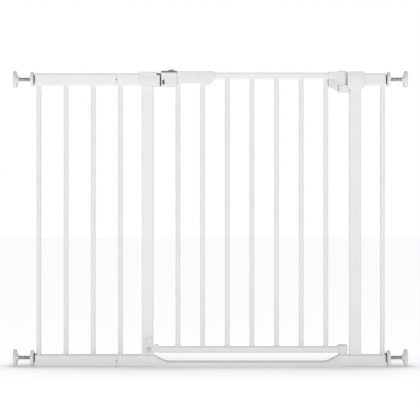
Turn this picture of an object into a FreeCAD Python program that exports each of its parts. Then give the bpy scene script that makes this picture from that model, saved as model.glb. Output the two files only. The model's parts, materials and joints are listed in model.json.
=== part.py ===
import FreeCAD, Part
import os
import re
import Sketcher
from FreeCAD import Placement, Rotation, Vector

# Pressure-fitted safety gate for a doorway: a welded steel frame with a swinging barred door,
# a bolted-on side extension, and four threaded spindles that press rubber pads on the walls.
# Millimetres. +X runs to the hinge side, +Y through the doorway, +Z up.
# The origin is on the floor, midway between the two walls and midway through the frame's depth.

SIZES = [
    ("main_width", 703, "frame with the door, over its rails"),
    ("main_height", 767, "floor to the top of the frame's rails"),
    ("extension_width", 211.7, "side extension, over its rails"),
    ("joint_gap", 3.3, "gap between extension and main frame"),
    ("spindle_reach", 56, "rail end to the wall"),
    ("tube_tall", 30.5, "rail and upright section, long side"),
    ("tube_deep", 20, "rail and upright section, short side"),
    ("tube_round", 4, "rail and upright corner radius"),
    ("tube_wall", 1.2, "rail and upright wall"),
    ("post_inset", 64.5, "rail end to the nearer upright"),
    ("bar_dia", 12.7, "round bars"),
    ("bar_wall", 0.8, "round bar wall"),
    ("outer_bar_inset", 8, "rail end to the middle of the outer bar"),
    ("extension_bar_inset", 9.4, "extension end to its first bar"),
    ("extension_bar_pitch", 71.2, "between the extension's bars"),
    ("connector_reach", 28, "how far a connector goes into each rail"),
    ("snug_gap", 0.15, "round a fixed insert"),
    ("run_gap", 0.05, "radial clearance of a turning or sliding fit"),
    ("air_gap", 0.5, "between parts that move past each other"),
    ("threshold_tall", 12.6, "low step under the door"),
    ("threshold_deep", 36, "low step, front to back"),
    ("threshold_slope", 33, "length of each sloping end"),
    ("step_end_gap", 8, "low step's end to the hinge line"),
    ("threshold_bend", 40, "bend where each slope meets the flat"),
    ("threshold_wall", 1.5, "sheet of the low step"),
    ("door_rail_tall", 16, "door rail section"),
    ("door_rail_deep", 16, "door rail section"),
    ("door_rail_round", 3, "door rail corner radius"),
    ("door_rail_wall", 1.2, "door rail wall"),
    ("door_rise", 2, "door top rail above the frame's top rail"),
    ("door_floor_gap", 35.6, "floor to the underside of the door"),
    ("first_bar_inset", 64, "left upright to the first door bar"),
    ("last_bar_inset", 43, "last door bar to the hinge line"),
    ("door_bar_count", 7, "bars in the door"),
    ("hinge_offset", 18.2, "hinge line to the right upright"),
    ("knuckle_radius", 11.6, "door's upper knuckle"),
    ("knuckle_drop", 33, "door top down to the foot of the upper knuckle"),
    ("knuckle_rise", 4.5, "knuckle top above the door rail"),
    ("knuckle_dome", 2.5, "rounding of the knuckle's top"),
    ("foot_radius", 13.5, "door's lower knuckle"),
    ("foot_tall", 21, "door's lower knuckle"),
    ("pin_radius", 4, "hinge pins"),
    ("bush_wall", 2, "hinge bush"),
    ("arm_deep", 19, "door's hinge arm, front to back"),
    ("gusset_drop", 32, "arm's gusset below the door rail"),
    ("groove_wide", 4.4, "grooves down the gusset"),
    ("bracket_deep", 32, "post's hinge bracket, front to back"),
    ("bracket_over", 9, "bracket past the far side of the upright"),
    ("bracket_cap", 4, "bracket above the upright's rail"),
    ("lobe_radius", 12, "bracket's pin lobe"),
    ("lobe_tall", 18, "bracket's pin lobe"),
    ("bracket_round", 9, "bracket's lower outer corner"),
    ("boss_radius", 12, "lower hinge boss at its foot"),
    ("boss_top", 7, "lower hinge boss at its top"),
    ("housing_left", 6.5, "lock housing past the upright, outer side"),
    ("housing_right", 17, "lock housing past the upright, door side"),
    ("housing_drop", 3.5, "lock housing below the rail"),
    ("housing_cap", 3.5, "lock housing above the rail"),
    ("housing_deep", 30, "lock housing, front to back"),
    ("housing_round", 3, "lock housing corner radius"),
    ("housing_chin", 10, "lock housing's lower outer corner"),
    ("latch_gap", 3.4, "lock housing to latch block"),
    ("latch_long", 41.6, "latch block"),
    ("latch_tall", 36, "latch block"),
    ("latch_deep", 28, "latch block, front to back"),
    ("latch_wall", 2, "latch block wall"),
    ("latch_round", 2, "latch block edge radius"),
    ("tongue_long", 8.6, "latch block's tongue over the housing"),
    ("tongue_thick", 2.5, "latch block's tongue"),
    ("step_deep", 9, "step in the housing for the tongue, along the rail"),
    ("step_drop", 8.5, "step in the housing for the tongue, down"),
    ("bolt_long", 20, "lock bolt"),
    ("bolt_tall", 9, "lock bolt"),
    ("bolt_deep", 10, "lock bolt"),
    ("bolt_low", 5, "latch block underside to the bolt"),
    ("bolt_travel", 10, "how far the bolt slides"),
    ("bolt_gap", 0.4, "slot round the bolt"),
    ("keeper_wall", 1.6, "steel keeper in the housing"),
    ("stem_long", 8, "slider stem along the rail"),
    ("stem_deep", 6, "slider stem, front to back"),
    ("stem_back", 12, "bolt tip to the stem"),
    ("slider_tall", 4.6, "slider button"),
    ("slider_deep", 15, "slider button, front to back"),
    ("slider_bump", 3.2, "thumb rib on the slider, above its button"),
    ("rib_back", 5, "slider stem to the thumb rib"),
    ("rib_flat", 5, "thumb rib's top"),
    ("rib_long", 19, "thumb rib's foot"),
    ("spring_wire", 1, "bolt spring's wire"),
    ("spring_coil", 6, "bolt spring, across the middle of its wire"),
    ("spring_turns", 7, "bolt spring's turns"),
    ("handle_long", 99.5, "handle cover"),
    ("handle_deep", 27, "handle cover, front to back"),
    ("handle_cap", 3, "handle cover above the door rail"),
    ("handle_drop", 30, "handle cover below the door rail's top"),
    ("handle_scoop", 5, "finger scoop under the handle"),
    ("handle_round", 3, "handle cover edge radius"),
    ("handle_nose", 4.5, "rounding round the handle's free end"),
    ("window_tall", 13, "lock indicator window"),
    ("window_wide", 6.6, "lock indicator window"),
    ("window_thick", 1.2, "lock indicator window"),
    ("window_inset", 6, "latch block end to the window's middle"),
    ("window_low", 10.5, "latch block underside to the window's middle"),
    ("endcap_long", 11, "cap on the door's lower free corner"),
    ("endcap_rise", 5, "cap above the door's bottom rail"),
    ("lever_low", 45, "floor to the stop lever's screw"),
    ("lever_pitch", 20.3, "between the stop lever's two lobes"),
    ("lever_radius", 11.6, "stop lever's lobes"),
    ("lever_waist", 19, "stop lever's waist"),
    ("lever_thick", 5, "stop lever"),
    ("lever_inset", 11, "stop lever's screw to the upright's inner side"),
    ("screw_radius", 2.5, "screw shanks"),
    ("screw_head", 5, "screw head radius"),
    ("spindle_radius", 5, "threaded spindle"),
    ("spindle_inside", 50, "spindle inside the rail"),
    ("low_spindle", 22.4, "floor to the lower spindles"),
    ("plug_long", 20, "end plug inside the rail"),
    ("plug_flange", 2.8, "end plug's round flange"),
    ("flange_radius", 12, "end plug's round flange"),
    ("wheel_collar", 1, "handwheel collar"),
    ("collar_radius", 14, "handwheel collar"),
    ("wheel_thick", 7.5, "handwheel"),
    ("wheel_radius", 19.5, "handwheel"),
    ("wheel_lobes", 12, "grip hollows round the handwheel"),
    ("lobe_hollow", 3.2, "grip hollow radius"),
    ("pad_radius", 22, "wall pad"),
    ("rubber_thick", 2.5, "wall pad's rubber face"),
    ("pad_plate", 2.5, "wall pad's plate"),
    ("pad_rim", 2, "wall pad's turned rim"),
    ("pad_hub", 8, "wall pad's hub"),
    ("hub_radius", 9.5, "wall pad's hub"),
]

# Places along the object, each worked out from the sizes above.
PLACES = {
    "wall_x": "(main_width + joint_gap + extension_width) / 2 + spindle_reach",
    "rail_x1": "wall_x - spindle_reach",
    "rail_x0": "rail_x1 - main_width",
    "ext_x1": "rail_x0 - joint_gap",
    "ext_x0": "ext_x1 - extension_width",
    "left_x0": "rail_x0 + post_inset",
    "left_x1": "left_x0 + tube_tall",
    "right_x1": "rail_x1 - post_inset",
    "right_x0": "right_x1 - tube_tall",
    "hinge_x": "right_x0 - hinge_offset",
    "rail_z0": "main_height - tube_tall",
    "door_z1": "main_height + door_rise",
    "door_z0": "door_floor_gap",
    "door_rail_z": "door_z1 - door_rail_tall",
    "first_bar_x": "left_x1 + first_bar_inset",
    "last_bar_x": "hinge_x - last_bar_inset",
    "bar_step": "(last_bar_x - first_bar_x) / (door_bar_count - 1)",
    "housing_x0": "left_x0 - housing_left",
    "housing_x1": "left_x1 + housing_right",
    "housing_z0": "rail_z0 - housing_drop",
    "housing_z1": "main_height + housing_cap",
    "latch_x0": "housing_x1 + latch_gap",
    "latch_x1": "latch_x0 + latch_long",
    "latch_z0": "door_z1 - latch_tall",
    "handle_x0": "latch_x1 + air_gap",
    "handle_x1": "handle_x0 + handle_long",
    "handle_z1": "door_z1 + handle_cap",
    "handle_z0": "door_z1 - handle_drop",
    "bolt_x0": "latch_x0 + air_gap",
    "bolt_z0": "latch_z0 + bolt_low",
    "stem_x0": "bolt_x0 + stem_back",
    "rib_x0": "stem_x0 + rib_back",
    "slider_top": "door_z1 + air_gap + slider_tall",
    "spring_x1": "first_bar_x - bar_dia / 2 - snug_gap - latch_wall",
    "arm_x0": "last_bar_x + bar_dia / 2 + air_gap",
    "arm_x1": "hinge_x - lobe_radius - air_gap",
    "knuckle_z0": "door_z1 - knuckle_drop",
    "knuckle_z1": "door_z1 + knuckle_rise",
    "bush_radius": "pin_radius + run_gap + bush_wall",
    "bracket_x0": "hinge_x + knuckle_radius + 2 * air_gap",
    "bracket_x1": "right_x1 + bracket_over",
    "lobe_z1": "knuckle_z0 - air_gap",
    "foot_z0": "door_z0 - air_gap",
    "boss_z1": "foot_z0 - air_gap",
    "step_x1": "hinge_x - step_end_gap",
    "endcap_x0": "left_x1 + 4 * air_gap",
    "endcap_x1": "endcap_x0 + endcap_long",
    "lever_x": "left_x1 - lever_inset",
    "lever_y": "-tube_deep / 2 - air_gap",
    "high_spindle": "rail_z0 + tube_tall / 2",
    "wheel_x0": "rail_x1 + plug_flange + air_gap",
    "hub_x0": "wall_x - rubber_thick - pad_plate - pad_hub",
}

doc = FreeCAD.newDocument("safety_gate")
sheet = doc.addObject("Spreadsheet::Sheet", "Sizes")
for row, (alias, amount, meaning) in enumerate(SIZES, start=1):
    sheet.set(f"A{row}", meaning)
    sheet.set(f"B{row}", str(amount))
    sheet.setAlias(f"B{row}", alias)
doc.recompute()
ALIASES = {alias for alias, _, _ in SIZES}
PARTS = []


def formula(text):
    """An expression for the sheet, from plain size and place names."""
    def word(found):
        name = found.group(0)
        if name in PLACES:
            return "(" + formula(PLACES[name]) + ")"
        return "Sizes." + name if name in ALIASES else name
    return re.sub(r"[a-z]\w*", word, str(text))


def number(text):
    """The value of a formula, in millimetres."""
    return float(sheet.evalExpression(formula(text)))


def bind(obj, **formulas):
    """Bind an object's own properties to formulas."""
    for name, text in formulas.items():
        obj.setExpression(name, formula(text))
    return obj


def place(obj, x=None, y=None, z=None):
    """Bind an object's position to formulas."""
    for axis, text in (("x", x), ("y", y), ("z", z)):
        if text is not None:
            obj.setExpression("Placement.Base." + axis, formula(text))
    return obj


def keep(obj, label):
    """Name a finished sub-part."""
    obj.Label = label
    PARTS.append(obj)
    return obj


# ---- primitives and booleans

TURNS = {
    "+Z": Rotation(),
    "+X": Rotation(Vector(0, 1, 0), 90),
    "-X": Rotation(Vector(0, 1, 0), -90),
    "-Y": Rotation(Vector(1, 0, 0), 90),
    "+Y": Rotation(Vector(1, 0, 0), -90),
}


def box(x0, x1, deep, z0, z1, y="0"):
    """A box between two X and two Z places, centred on a Y place."""
    solid = doc.addObject("Part::Box", "box")
    bind(solid, Length=f"({x1}) - ({x0})", Width=deep, Height=f"({z1}) - ({z0})")
    return place(solid, x0, f"({y}) - ({deep}) / 2", z0)


def rod(radius, length, x, y, z, axis="+Z"):
    """A cylinder that starts at a place and runs along an axis."""
    solid = doc.addObject("Part::Cylinder", "rod")
    solid.Placement = Placement(Vector(), TURNS[axis])
    bind(solid, Radius=radius, Height=length)
    return place(solid, x, y, z)


def joined(*solids):
    """Several solids made one."""
    result = doc.addObject("Part::MultiFuse", "joined")
    result.Shapes = list(solids)
    result.Refine = True
    return result


def minus(base, *tools):
    """A solid with others taken out of it."""
    result = doc.addObject("Part::Cut", "cut")
    result.Base = base
    result.Tool = tools[0] if len(tools) == 1 else joined(*tools)
    result.Refine = True
    return result


def overlap(first, second):
    """What two solids have in common."""
    result = doc.addObject("Part::Common", "common")
    result.Base = first
    result.Tool = second
    return result


def group(*solids):
    """Identical separate pieces kept as one sub-part."""
    result = doc.addObject("Part::Compound", "group")
    result.Links = list(solids)
    return result


def rounded(base, radius, chosen):
    """Round the edges of a solid for which chosen(edge) is true."""
    doc.recompute()
    size = number(radius)
    edges = [
        (i, size, size)
        for i, edge in enumerate(base.Shape.Edges, start=1)
        if chosen(edge)
    ]
    result = doc.addObject("Part::Fillet", "rounded")
    result.Base = base
    result.Edges = edges
    return result


def runs_along(edge, axis):
    """Is an edge straight and parallel to an axis?"""
    if not isinstance(edge.Curve, Part.Line):
        return False
    direction = edge.Curve.Direction
    return abs(abs(getattr(direction, axis)) - 1) < 1e-6


# ---- sketched bodies

def new_body(name):
    return doc.addObject("PartDesign::Body", name)


def new_sketch(body, plane):
    """A sketch on one of the body's own origin planes."""
    sketch = body.newObject("Sketcher::SketchObject", body.Name + "_sketch")
    for feature in body.Origin.OriginFeatures:
        if feature.Role == plane:
            sketch.AttachmentSupport = (feature, [""])
    sketch.MapMode = "FlatFace"
    return sketch


def pin_point(sketch, line, end, u, v):
    """Hold one end of a sketch line at two formulas, measured from the sketch's origin."""
    for kind, text in (("DistanceX", u), ("DistanceY", v)):
        index = sketch.addConstraint(
            Sketcher.Constraint(kind, -1, 1, line, end, number(text))
        )
        sketch.setExpression(f"Constraints[{index}]", formula(text))


def outline(sketch, points):
    """A closed outline of straight lines through formula points."""
    spots = [Vector(number(u), number(v), 0) for u, v in points]
    first = sketch.GeometryCount
    last = first + len(spots) - 1
    for i, spot in enumerate(spots):
        sketch.addGeometry(Part.LineSegment(spot, spots[(i + 1) % len(spots)]), False)
    for i, (u, v) in enumerate(points):
        line = first + i
        following = first if line == last else line + 1
        sketch.addConstraint(Sketcher.Constraint("Coincident", line, 2, following, 1))
        pin_point(sketch, line, 1, u, v)


def rectangle(sketch, wide, tall):
    """A centred rectangle."""
    right, top = f"({wide}) / 2", f"({tall}) / 2"
    left, bottom = f"0 - {right}", f"0 - {top}"
    outline(sketch, [(left, bottom), (right, bottom), (right, top), (left, top)])


def ring(sketch, radius):
    """A circle about the sketch's origin."""
    line = sketch.addGeometry(Part.Circle(Vector(), Vector(0, 0, 1), number(radius)), False)
    sketch.addConstraint(Sketcher.Constraint("Coincident", line, 3, -1, 1))
    index = sketch.addConstraint(Sketcher.Constraint("Radius", line, number(radius)))
    sketch.setExpression(f"Constraints[{index}]", formula(radius))


def pad(body, sketch, length, both_ways=False):
    """Grow a sketch into a solid."""
    feature = body.newObject("PartDesign::Pad", body.Name + "_pad")
    feature.Profile = sketch
    bind(feature, Length=length)
    if both_ways:
        feature.SideType = "Symmetric"
    body.Tip = feature
    return feature


def smooth(body, radius, chosen):
    """Round edges of a body's latest feature."""
    doc.recompute()
    base = body.Tip
    names = [
        f"Edge{i}" for i, edge in enumerate(base.Shape.Edges, start=1) if chosen(edge)
    ]
    feature = body.newObject("PartDesign::Fillet", body.Name + "_round")
    feature.Base = (base, names)
    bind(feature, Radius=radius)
    body.Tip = feature
    return feature


def turned(body, sketch, plane_axis):
    """Turn a sketch a full circle about a sketch axis."""
    feature = body.newObject("PartDesign::Revolution", body.Name + "_turn")
    feature.Profile = sketch
    feature.ReferenceAxis = (sketch, [plane_axis])
    feature.Angle = 360
    body.Tip = feature
    return feature


def square_tube(name, plane, wide, tall, corner, wall, length):
    """A straight tube of rounded rectangular section, from its plane along the plane's normal."""
    body = new_body(name)
    sketch = new_sketch(body, plane)
    rectangle(sketch, wide, tall)
    rectangle(sketch, f"{wide} - 2 * {wall}", f"{tall} - 2 * {wall}")
    pad(body, sketch, length)
    along = {"YZ_Plane": "x", "XY_Plane": "z"}[plane]
    across = {"YZ_Plane": "y", "XY_Plane": "x"}[plane]
    half = number(wide) / 2

    def outside(edge):
        spot = edge.Vertexes[0].Point
        return runs_along(edge, along) and abs(abs(getattr(spot, across)) - half) < 1e-6

    smooth(body, corner, outside)
    smooth(body, f"{corner} - {wall}",
           lambda edge: runs_along(edge, along) and inner_corner(edge, across, half, wall))
    return body


def inner_corner(edge, across, half, wall):
    """Is an edge at the corner of a tube's bore?"""
    spot = edge.Vertexes[0].Point
    return abs(abs(getattr(spot, across)) - half + number(wall)) < 1e-6


def flat_rail(name, x0, x1, z0):
    """One of the frame's level rails, lying along X."""
    body = square_tube(name, "YZ_Plane", "tube_deep", "tube_tall", "tube_round",
                       "tube_wall", f"({x1}) - ({x0})")
    return place(body, x0, "0", f"({z0}) + tube_tall / 2")


def post(name, x0, z0, z1):
    """One of the frame's uprights."""
    body = square_tube(name, "XY_Plane", "tube_tall", "tube_deep", "tube_round",
                       "tube_wall", f"({z1}) - ({z0})")
    return place(body, f"({x0}) + tube_tall / 2", "0", z0)


def bar(name, x, z0, z1):
    """A round bar, a thin tube, standing between two rails."""
    body = new_body(name)
    sketch = new_sketch(body, "XY_Plane")
    ring(sketch, "bar_dia / 2")
    ring(sketch, "bar_dia / 2 - bar_wall")
    pad(body, sketch, f"({z1}) - ({z0})")
    return place(body, x, "0", z0)


def plate(name, points, deep):
    """A flat shape in X and Z, as thick as deep, centred on Y = 0."""
    body = new_body(name)
    sketch = new_sketch(body, "XZ_Plane")
    outline(sketch, points)
    pad(body, sketch, deep, both_ways=True)
    return body


def spun(name, profile):
    """A round piece about the X axis, from (x, radius) formula points."""
    body = new_body(name)
    sketch = new_sketch(body, "XY_Plane")
    outline(sketch, profile)
    turned(body, sketch, "H_Axis")
    return body


# ---- the frame

def build_frame():
    keep(flat_rail("top_left", "rail_x0", "left_x0", "rail_z0"), "top_rail_left")
    keep(flat_rail("top_right", "right_x1", "rail_x1", "rail_z0"), "top_rail_right")
    keep(flat_rail("low_left", "rail_x0", "left_x1", "0"), "bottom_rail_left")
    keep(flat_rail("low_right", "step_x1", "rail_x1", "0"), "bottom_rail_right")
    for side, x in (("left", "rail_x0 + outer_bar_inset"), ("right", "rail_x1 - outer_bar_inset")):
        keep(bar("outer_" + side, x, "tube_tall", "rail_z0"), "outer_bar_" + side)
    left = post("left_post", "left_x0", "tube_tall", "main_height")
    screw_hole = rod("screw_radius + snug_gap", "tube_deep / 2", "lever_x", "-tube_deep / 2 - snug_gap",
                     "lever_low", "+Y")
    keep(minus(left, screw_hole), "left_upright")
    keep(post("right_post", "right_x0", "tube_tall", "main_height"), "right_upright")


def build_threshold():
    """A low hollow step whose ends rise and narrow to the rails."""
    low0, low1 = "left_x1 + threshold_slope", "step_x1 - threshold_slope"
    side = plate("step_side", [
        ("left_x1", "0"), ("step_x1", "0"), ("step_x1", "tube_tall"), (low1, "threshold_tall"),
        (low0, "threshold_tall"), ("left_x1", "tube_tall"),
    ], "threshold_deep")
    smooth(side, "threshold_bend", is_slope_foot)
    plan = new_body("step_plan")
    sketch = new_sketch(plan, "XY_Plane")
    narrow, wide = "tube_deep / 2", "threshold_deep / 2"
    front = [("left_x1", narrow), (low0, wide), (low1, wide), ("step_x1", narrow)]
    outline(sketch, [(x, f"0 - {y}") for x, y in front] + front[::-1])
    pad(plan, sketch, "tube_tall")
    whole = overlap(side, plan)
    inside = box("left_x1 + threshold_wall", "step_x1 - threshold_wall", "tube_deep - 2 * threshold_wall",
                 "0 - 1", "threshold_tall - threshold_wall")
    hollow = box(low0, low1, "threshold_deep - 2 * threshold_wall", "0 - 1",
                 "threshold_tall - threshold_wall")
    keep(minus(whole, inside, hollow), "threshold")


def is_slope_foot(edge):
    """The bend where a sloping end meets the flat of the step."""
    flat_x = (number("left_x1 + threshold_slope"), number("step_x1 - threshold_slope"))
    spot = edge.Vertexes[0].Point
    return runs_along(edge, "y") and min(abs(spot.x - x) for x in flat_x) < 0.01


def build_extension():
    first = "ext_x0 + extension_bar_inset"
    keep(flat_rail("ext_top", "ext_x0", "ext_x1", "rail_z0"), "extension_top_rail")
    keep(flat_rail("ext_low", "ext_x0", "ext_x1", "0"), "extension_bottom_rail")
    bars = [
        bar(f"ext_bar_{i + 1}", f"{first} + {i} * extension_bar_pitch", "tube_tall", "rail_z0")
        for i in range(3)
    ]
    keep(group(*bars), "extension_bars")
    connectors = []
    for z in ("tube_tall / 2", "high_spindle"):
        tall = "tube_tall - 2 * tube_wall - 2 * snug_gap"
        deep = "tube_deep - 2 * tube_wall - 2 * snug_gap"
        block = box("ext_x1 - connector_reach", "rail_x0 + connector_reach", deep,
                    f"{z} - ({tall}) / 2", f"{z} + ({tall}) / 2")
        block = rounded(block, "tube_round - tube_wall", lambda edge: runs_along(edge, "x"))
        pin_hole = rod("joint_gap / 2", deep, "ext_x1 + joint_gap / 2", f"0 - ({deep}) / 2 - 2", z, "+Y")
        connectors.append(minus(block, pin_hole))
    keep(group(*connectors), "extension_connectors")


# ---- the four wall spindles

def end_plug(side, z, rail_z):
    """A plastic plug in a rail's end, with a round flange and a bore for the spindle."""
    tall = "tube_tall - 2 * tube_wall - 2 * snug_gap"
    deep = "tube_deep - 2 * tube_wall - 2 * snug_gap"
    mid = f"({rail_z}) + tube_tall / 2"
    ends = {"left": ("0 - rail_x1", "plug_long - rail_x1"), "right": ("rail_x1 - plug_long", "rail_x1")}[side]
    core = rounded(box(*ends, deep, f"{mid} - ({tall}) / 2", f"{mid} + ({tall}) / 2"),
                   "tube_round - tube_wall", lambda edge: runs_along(edge, "x"))
    flange_x = {"left": "0 - rail_x1 - plug_flange", "right": "rail_x1"}[side]
    flange = rod("flange_radius", "plug_flange", flange_x, "0", z, "+X")
    bore_x = {"left": "0 - rail_x1 - plug_flange - 1", "right": "rail_x1 - plug_long - 1"}[side]
    bore = rod("spindle_radius + run_gap", "plug_long + plug_flange + 2", bore_x, "0", z, "+X")
    return minus(joined(core, flange), bore)


def mirrored_placement(body, side, z):
    """Put a piece turned about X at a spindle, facing its wall."""
    if side == "left":
        body.Placement = Placement(Vector(), Rotation(Vector(0, 0, 1), 180))
    return place(body, "0", "0", z)


def build_spindle(name, side, z):
    rod_body = spun("rod_" + name, [
        ("rail_x1 - spindle_inside", "0"), ("hub_x0 + pad_hub - air_gap", "0"),
        ("hub_x0 + pad_hub - air_gap", "spindle_radius"),
        ("rail_x1 - spindle_inside + 1", "spindle_radius"),
        ("rail_x1 - spindle_inside", "spindle_radius - 1"),
    ])
    keep(mirrored_placement(rod_body, side, z), "spindle_" + name)

    bore = "spindle_radius + run_gap"
    wheel_x1 = "wheel_x0 + wheel_collar + wheel_thick"
    wheel = spun("wheel_" + name, [
        ("wheel_x0", bore), (wheel_x1, bore), (wheel_x1, "wheel_radius - 1"),
        (f"{wheel_x1} - 1", "wheel_radius"), ("wheel_x0 + wheel_collar + 1", "wheel_radius"),
        ("wheel_x0 + wheel_collar", "wheel_radius - 1"), ("wheel_x0 + wheel_collar", "collar_radius"),
        ("wheel_x0", "collar_radius"),
    ])
    sketch = new_sketch(wheel, "YZ_Plane")
    line = sketch.addGeometry(
        Part.Circle(Vector(0, number("wheel_radius + lobe_hollow * 0.6"), 0), Vector(0, 0, 1),
                    number("lobe_hollow")), False)
    sketch.addConstraint(Sketcher.Constraint("PointOnObject", line, 3, -2))
    index = sketch.addConstraint(Sketcher.Constraint("Radius", line, number("lobe_hollow")))
    sketch.setExpression(f"Constraints[{index}]", formula("lobe_hollow"))
    index = sketch.addConstraint(
        Sketcher.Constraint("DistanceY", -1, 1, line, 3, number("wheel_radius + lobe_hollow * 0.6")))
    sketch.setExpression(f"Constraints[{index}]", formula("wheel_radius + lobe_hollow * 0.6"))
    doc.recompute()
    whole = wheel.Shape.Volume
    hollow = wheel.newObject("PartDesign::Pocket", "hollow_" + name)
    hollow.Profile = sketch
    hollow.Type = "ThroughAll"
    hollow.Reversed = True
    wheel.Tip = hollow
    pattern = wheel.newObject("PartDesign::PolarPattern", "grip_" + name)
    pattern.Originals = [hollow]
    pattern.Axis = (sketch, ["N_Axis"])
    pattern.Angle = 360
    bind(pattern, Occurrences="wheel_lobes")
    wheel.Tip = pattern
    doc.recompute()
    if wheel.Shape.Volume >= whole:
        raise RuntimeError("the grip hollows cut nothing on " + name)
    keep(mirrored_placement(wheel, side, z), "handwheel_" + name)

    back = "wall_x - rubber_thick"
    front = f"{back} - pad_plate"
    cup = spun("cup_" + name, [
        ("hub_x0", bore), ("hub_x0 + pad_hub", bore), ("hub_x0 + pad_hub", "0"), (back, "0"),
        (back, "pad_radius - 0.5"), (f"{front} - pad_rim", "pad_radius - 0.5"),
        (f"{front} - pad_rim", "pad_radius - 3"), (front, "pad_radius - 3.5"),
        (front, "hub_radius + 4"), (f"{front} - pad_hub / 2", "hub_radius + 3"),
        (f"{front} - pad_hub / 2", "hub_radius"), ("hub_x0", "hub_radius - 1"),
    ])
    keep(mirrored_placement(cup, side, z), "wall_pad_" + name)
    face = spun("face_" + name, [
        (back, "0"), ("wall_x", "0"), ("wall_x", "pad_radius - 0.6"), ("wall_x - 0.6", "pad_radius"),
        (back, "pad_radius"),
    ])
    keep(mirrored_placement(face, side, z), "pad_rubber_" + name)


def build_spindles():
    corners = [(level + "_" + side, side, z, rail_z)
               for side in ("left", "right")
               for level, z, rail_z in (("top", "high_spindle", "rail_z0"), ("bottom", "low_spindle", "0"))]
    for name, side, z, _ in corners:
        build_spindle(name, side, z)
    keep(group(*[end_plug(side, z, rail_z) for _, side, z, rail_z in corners]), "rail_end_plugs")


# ---- lock housing on the left upright

def build_lock_housing():
    shell = box("housing_x0", "housing_x1", "housing_deep", "housing_z0", "housing_z1")
    shell = rounded(shell, "housing_chin", lambda edge: is_corner(edge, "housing_x0", "housing_z0"))
    shell = rounded(shell, "housing_round", lambda edge: is_corner(edge, "housing_x0", "housing_z1")
                    or is_corner(edge, "housing_x1", "housing_z0"))
    shell = rounded(shell, "latch_round", lambda edge: is_face_rim(edge, "housing_deep"))
    reach = "(housing_left + 1)"
    post_space = box("left_x0 - snug_gap", "left_x1 + snug_gap", "tube_deep + 2 * snug_gap",
                     "housing_z0 - 1", "main_height + snug_gap")
    rail_space = box(f"left_x0 - {reach}", "left_x0 + 1", "tube_deep + 2 * snug_gap",
                     "rail_z0 - snug_gap", "main_height + snug_gap")
    step = box("housing_x1 - step_deep", "housing_x1 + 1", "housing_deep + 2",
               "housing_z1 - step_drop", "housing_z1 + 1")
    keeper_space = box("housing_x1 - bolt_travel", "housing_x1 + 1",
                       "bolt_deep + 2 * bolt_gap + 2 * keeper_wall",
                       "bolt_z0 - bolt_gap - keeper_wall",
                       "bolt_z0 + bolt_tall + bolt_gap + keeper_wall")
    whole = minus(shell, post_space, rail_space, step, keeper_space)
    for name, y in (("front", "0 - housing_deep / 2"), ("back", "housing_deep / 2")):
        half = box("housing_x0 - 1", "housing_x1 + 1", "housing_deep", "housing_z0 - 1",
                   "housing_z1 + 1", y)
        keep(overlap(whole, half), "lock_housing_" + name)
    outer = box("housing_x1 - bolt_travel + snug_gap", "housing_x1 - snug_gap",
                "bolt_deep + 2 * bolt_gap + 2 * keeper_wall - 2 * snug_gap",
                "bolt_z0 - bolt_gap - keeper_wall + snug_gap",
                "bolt_z0 + bolt_tall + bolt_gap + keeper_wall - snug_gap")
    pocket = box("housing_x1 - bolt_travel + keeper_wall", "housing_x1 + 1",
                 "bolt_deep + 2 * bolt_gap", "bolt_z0 - bolt_gap", "bolt_z0 + bolt_tall + bolt_gap")
    keep(minus(outer, pocket), "lock_keeper")


def is_corner(edge, x, z):
    """Is an edge the one along Y at a place?"""
    spot = edge.Vertexes[0].Point
    return runs_along(edge, "y") and abs(spot.x - number(x)) + abs(spot.z - number(z)) < 0.01


def is_face_rim(edge, deep):
    """Is an edge on the front or back face of a block that deep?"""
    return all(abs(abs(v.Point.y) - number(deep) / 2) < 1e-6 for v in edge.Vertexes)


# ---- hinge line

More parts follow.
